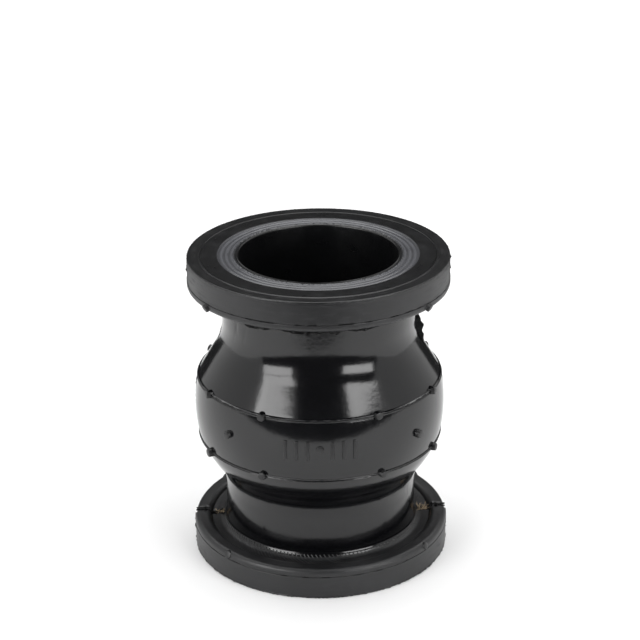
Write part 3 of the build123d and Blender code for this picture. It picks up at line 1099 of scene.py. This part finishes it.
class EXPANSIONJOINT_OT_cord_tuft(bpy.types.Operator):
    """Fray the cord ends that stick out of the torn seam in the lower channel"""

    bl_idname = "expansion_joint.cord_tuft"
    bl_label = "Cord Tuft"

    def execute(self, context):
        s = sizes()
        chance = random.Random(21)
        bm = bmesh.new()
        for side, count in ((1, 46), (-1, 12)):
            for _ in range(count):
                radius = s.neck + chance.uniform(1.8, 6.4) * MM
                behind = seam_offset(side) + chance.gauss(0.5, 1.0) * MM
                spot = Vector((side * radius, behind, s.channel + 0.05 * MM))
                aim = Vector((side * chance.uniform(-1, 1), chance.uniform(-1, 1), chance.uniform(0.15, 0.8)))
                self.add_fibre(bm, spot, aim.normalized(), chance.uniform(0.9, 2.4) * MM, chance)
        bmesh.ops.recalc_face_normals(bm, faces=bm.faces)
        piece = finish_piece("cord_tuft", bm, fibre_nylon, crease=80)
        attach(piece, "lower_bead")
        return {"FINISHED"}

    @staticmethod
    def add_fibre(bm, spot, aim, reach, chance):
        """One curved fibre, drawn from a small round end."""
        radius = chance.uniform(0.06, 0.11) * MM
        made = bmesh.ops.create_circle(bm, cap_ends=True, segments=5, radius=radius, matrix=facing(spot, aim))
        front = list({f for v in made["verts"] for f in v.link_faces})
        bow = Vector([chance.uniform(-0.35, 0.35) for _ in range(3)])
        steps = 4
        for step in range(steps):
            front, moved = grow(bm, front, keep=step == 0)
            aim = (aim + bow).normalized()
            bmesh.ops.translate(bm, verts=moved, vec=aim * reach / steps)


CORE_FINISHES = {
    "inner_ply": cord_fabric,
    "middle_ply": cord_fabric,
    "outer_ply": cord_fabric,
    "wrap": cord_fabric,
    "wires": bead_wire,
    "filler": filler_rubber,
}


class EXPANSIONJOINT_OT_core_finishes(bpy.types.Operator):
    """Give the plies, hoop, wrap and filler inside each bead their finishes"""

    bl_idname = "expansion_joint.core_finishes"
    bl_label = "Core Finishes"

    def execute(self, context):
        for end in ENDS:
            for part, maker in CORE_FINISHES.items():
                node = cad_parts[f"{end}_bead_{part}"]
                for slot in node.material_slots:
                    slot.material = finish(maker)
        return {"FINISHED"}


# ---- stage ----
PANELS = {  # azimuth, elevation, distance, width, height, power
    "left_window_high": (-46, 27.5, 1.3, 0.745, 0.39, 5.9),
    "left_window_low": (-46, 10.8, 1.3, 0.745, 0.33, 5.0),
    "right_window_high": (48, 40, 1.3, 0.70, 0.39, 5.6),
    "right_window_low": (43, 8, 1.3, 0.78, 0.32, 5.2),
    "left_wall": (-102, 20, 1.6, 2.6, 2.2, 14),
    "right_wall": (104, 20, 1.6, 2.6, 2.2, 14),
    "ceiling": (180, 74, 2.2, 2.6, 2.6, 60),
}
AMBIENT = 0.04
CAMERA_TARGET, CAMERA_DISTANCE = Vector((0.435, 0, 100.14)) * MM, 806.7 * MM
CAMERA_LIFT, CAMERA_ROLL, CAMERA_LENS = 0.4002, -0.009, 110.475
NEAR_EDGE, FAR_EDGE = (1.68, 0.28, 0.0), (9.0, 9.0, 0.0)  # half width, half depth, level


def add_panel(name, azimuth, elevation, distance, width, height, power):
    """A soft panel light aimed at the middle of the joint; azimuth from the front, to the right."""
    aim = Vector((0, 0, sizes().height / 2))
    turn, lift = math.radians(azimuth), math.radians(elevation)
    away = Vector((math.sin(turn) * math.cos(lift), -math.cos(turn) * math.cos(lift), math.sin(lift)))
    lamp = bpy.data.lights.new(name, "AREA")
    lamp.shape = "RECTANGLE"
    lamp.size, lamp.size_y = width, height
    lamp.energy = power
    light = bpy.data.objects.new(name, lamp)
    light.location = aim + away * distance
    light.rotation_euler = away.to_track_quat("Z", "Y").to_euler()
    light.visible_camera = False
    bpy.context.scene.collection.objects.link(light)
    return light


def add_camera():
    """Camera 23 degrees above the horizon, in front, with a slight roll."""
    lens = bpy.data.cameras.new("camera")
    lens.lens, lens.sensor_width, lens.clip_end = CAMERA_LENS, 36.0, 100.0
    camera = bpy.data.objects.new("camera", lens)
    away = Vector((0, -math.cos(CAMERA_LIFT), math.sin(CAMERA_LIFT)))
    camera.location = CAMERA_TARGET + away * CAMERA_DISTANCE
    turn = away.to_track_quat("Z", "Y").to_matrix() @ Matrix.Rotation(CAMERA_ROLL, 3, "Z")
    camera.rotation_euler = turn.to_euler()
    bpy.context.scene.collection.objects.link(camera)
    bpy.context.scene.camera = camera


class EXPANSIONJOINT_OT_stage(bpy.types.Operator):
    """Lay the pale floor and set the soft lights and the camera"""

    bl_idname = "expansion_joint.stage"
    bl_label = "Stage"

    def execute(self, context):
        near = self.add_floor("floor", NEAR_EDGE)
        far = self.add_floor("floor_surround", NEAR_EDGE, FAR_EDGE)
        back = self.add_floor("backdrop", (8.9, 8.9, 0.0), FAR_EDGE, (9.0, 9.0, 14.0))
        far.visible_glossy = False
        back.visible_glossy = False
        back.visible_diffuse = False
        back.visible_shadow = False
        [add_panel(name, *values) for name, values in PANELS.items()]
        world = bpy.data.worlds.new("studio")
        world.use_nodes = True
        backdrop = world.node_tree.nodes["Background"]
        backdrop.inputs["Color"].default_value = (1, 1, 1, 1)
        backdrop.inputs["Strength"].default_value = AMBIENT
        context.scene.world = world
        context.scene.view_settings.view_transform = "Standard"
        add_camera()
        return {"FINISHED"}

    @staticmethod
    def add_floor(name, *rims):
        """A disc inside one oval rim, or the ring that joins one rim to the next."""
        bm = bmesh.new()
        circle = bmesh.ops.create_circle(bm, cap_ends=len(rims) == 1, segments=96, radius=1.0)["verts"]
        joins = [circle]
        for _ in rims[1:]:
            edges = edges_among(joins[-1])
            joins.append(points_of(bmesh.ops.extrude_edge_only(bm, edges=edges)["geom"]))
        for points, (wide, deep, level) in zip(joins, rims):
            bmesh.ops.scale(bm, verts=points, vec=(wide, deep, 1))
            bmesh.ops.translate(bm, verts=points, vec=(0, 0, level))
        bm.normal_update()
        for face in bm.faces:
            if face.normal.z < -0.5:
                face.normal_flip()
        return as_object(name, bm, finish(studio_floor))


OPERATORS = (
    EXPANSIONJOINT_OT_bead_covers,
    EXPANSIONJOINT_OT_sealing_faces,
    EXPANSIONJOINT_OT_cover_walls,
    EXPANSIONJOINT_OT_inner_walls,
    EXPANSIONJOINT_OT_cord_ribs,
    EXPANSIONJOINT_OT_seam_flash,
    EXPANSIONJOINT_OT_bead_flash,
    EXPANSIONJOINT_OT_cord_tuft,
    EXPANSIONJOINT_OT_core_finishes,
    EXPANSIONJOINT_OT_stage,
)


class EXPANSIONJOINT_PT_panel(bpy.types.Panel):
    """Lists the steps that build the joint"""

    bl_idname = "EXPANSIONJOINT_PT_panel"
    bl_label = "Expansion Joint"
    bl_space_type = "VIEW_3D"
    bl_region_type = "UI"
    bl_category = "Expansion Joint"

    def draw(self, context):
        for step in OPERATORS:
            self.layout.operator(step.bl_idname)
        for group in (context.scene.expansion_joint_sizes, context.scene.expansion_joint_colours):
            box = self.layout.box()
            for title in group.__annotations__:
                box.prop(group, title)


CLASSES = (JointSizes, JointColours, *OPERATORS, EXPANSIONJOINT_PT_panel)


def register():
    """Register the classes and hang the settings on the scene."""
    for item in CLASSES:
        bpy.utils.register_class(item)
    bpy.types.Scene.expansion_joint_sizes = PointerProperty(type=JointSizes)
    bpy.types.Scene.expansion_joint_colours = PointerProperty(type=JointColours)


def unregister():
    """Take everything off again."""
    del bpy.types.Scene.expansion_joint_colours
    del bpy.types.Scene.expansion_joint_sizes
    for item in reversed(CLASSES):
        bpy.utils.unregister_class(item)


def main():
    """Build every piece."""
    register()
    for step in OPERATORS:
        getattr(bpy.ops.expansion_joint, step.bl_idname.split(".")[1])()


if __name__ == "__main__":
    main()
